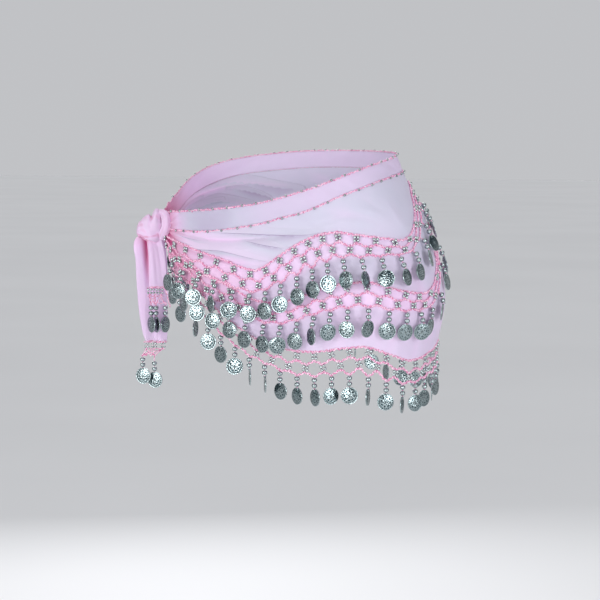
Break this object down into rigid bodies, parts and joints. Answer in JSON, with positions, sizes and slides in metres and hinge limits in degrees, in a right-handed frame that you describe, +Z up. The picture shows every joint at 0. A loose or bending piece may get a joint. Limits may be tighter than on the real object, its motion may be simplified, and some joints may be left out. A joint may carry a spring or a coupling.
{
  "type": "belly dance hip scarf",
  "caption": "Sheer chiffon hip scarf tied in a side knot, worn and hollow, with tiers of beaded crochet net, each hung with pairs of silver beads and round coins.",
  "frame": {"origin": "middle of the wearer's waist, inside the waistband ring, about half way up the band", "axes": "+Z up along the wearer, -Y to the wearer's front, +X to the wearer's left; the knot is at the wearer's right, 67 degrees from the front"},
  "size_m": [0.3749, 0.2765, 0.2989],
  "materials": {
    "chiffon": "sheer lilac-pink chiffon, soft and matte",
    "crochet_thread": "bright pink crochet thread with small silver seed beads",
    "silver": "bright silver-plated beads and stamped coins"
  },
  "bodies": {
    "root": {"main_cloth": "chiffon", "waistband": "chiffon", "knot": "chiffon", "tail_long": "chiffon", "tail_short": "chiffon", "net_tier_1": "crochet_thread", "net_tier_2": "crochet_thread", "net_hem_front": "crochet_thread", "net_hem_back": "crochet_thread", "tail_long_net": "crochet_thread", "tail_short_net": "crochet_thread", "coin_fringe_1": "silver", "coin_fringe_2": "silver", "coin_fringe_3": "silver", "tail_long_coins": "silver", "tail_short_coins": "silver"}
  },
  "joints": []
}
